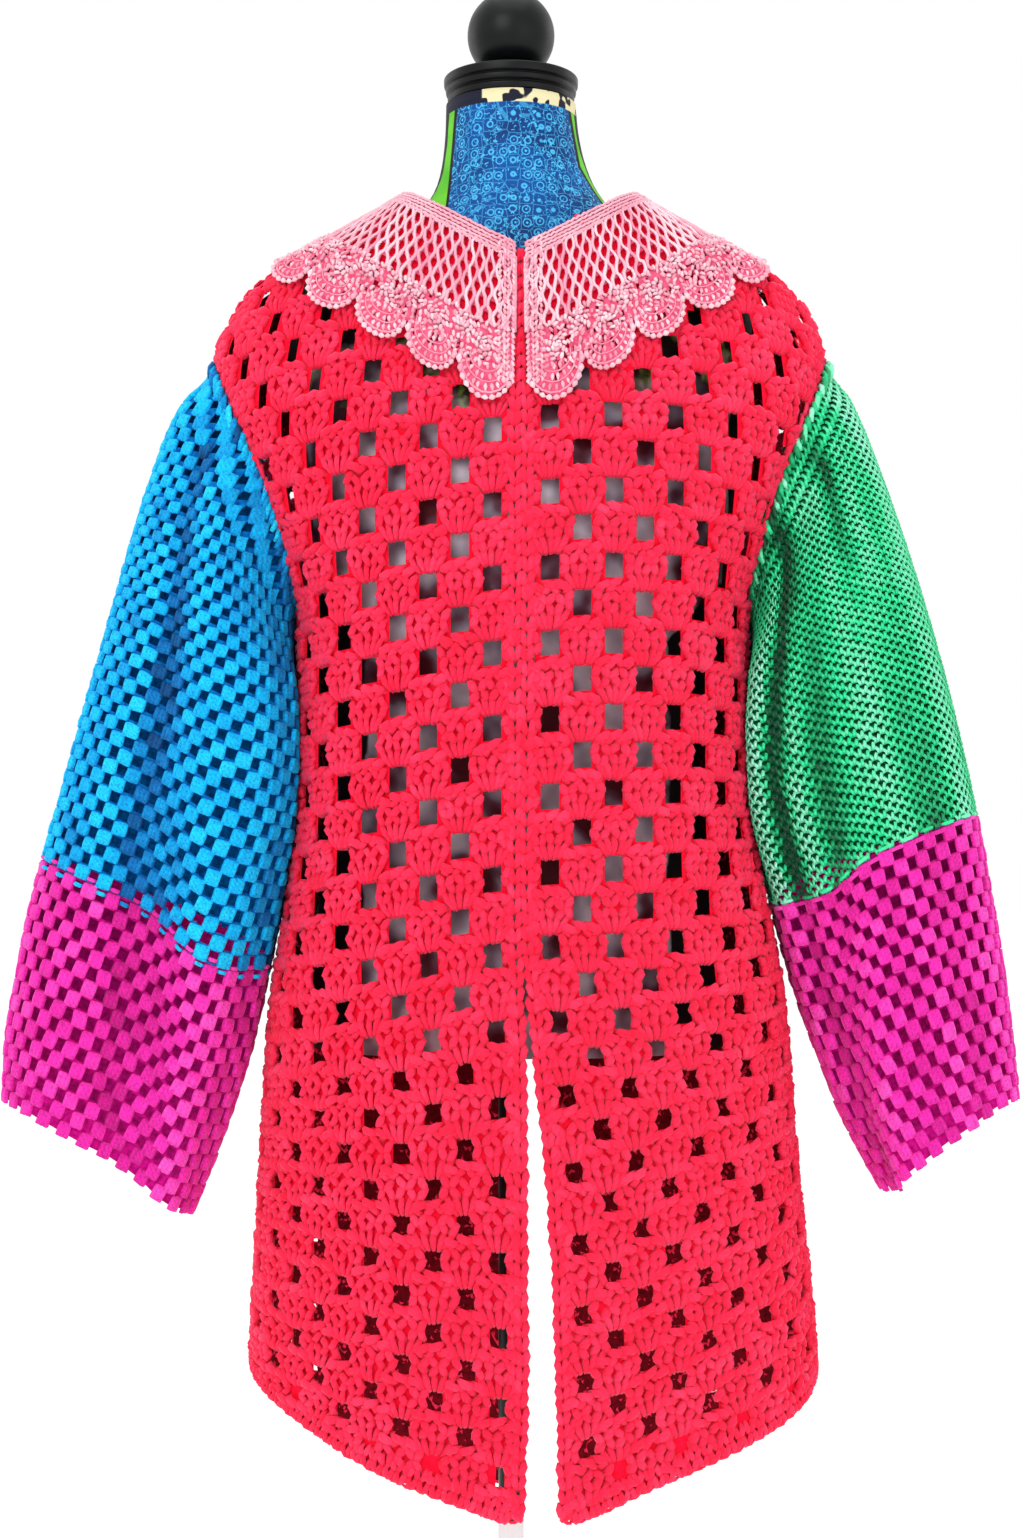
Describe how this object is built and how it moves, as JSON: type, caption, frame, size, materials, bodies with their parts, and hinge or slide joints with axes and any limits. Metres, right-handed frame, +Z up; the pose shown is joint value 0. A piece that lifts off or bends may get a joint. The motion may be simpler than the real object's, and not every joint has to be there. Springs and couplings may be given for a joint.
{
  "type": "crocheted jacket on dress form",
  "caption": "Open-front hand-crocheted jacket with wide two-colour mesh sleeves and a scalloped lace collar, worn by a limbless dress form on a round base.",
  "frame": {"origin": "centre of the base's underside, on the floor", "axes": "+Z up; the jacket's front faces -Y; +X is the wearer's left"},
  "size_m": [0.7868, 0.36, 1.606],
  "materials": {
    "red_crochet": "matte chunky crochet",
    "blue_crochet": "matte filet crochet",
    "green_crochet": "fine crochet mesh with a soft sheen",
    "magenta_crochet": "matte filet crochet",
    "pink_lace": "matte cotton lace crochet",
    "form_shell": "printed covering, satin",
    "black_lacquer": "black lacquer, half gloss",
    "stand_metal": "white satin paint"
  },
  "bodies": {
    "root": {"front_right": "red_crochet", "front_left": "red_crochet", "back_right": "red_crochet", "back_left": "red_crochet", "sleeve_upper_right": "blue_crochet", "sleeve_lower_right": "magenta_crochet", "sleeve_upper_left": "green_crochet", "sleeve_lower_left": "magenta_crochet", "collar": "pink_lace", "form_torso": "form_shell", "form_cap": "black_lacquer", "form_finial": "black_lacquer", "form_pole": "stand_metal", "form_base": "stand_metal"}
  },
  "joints": []
}
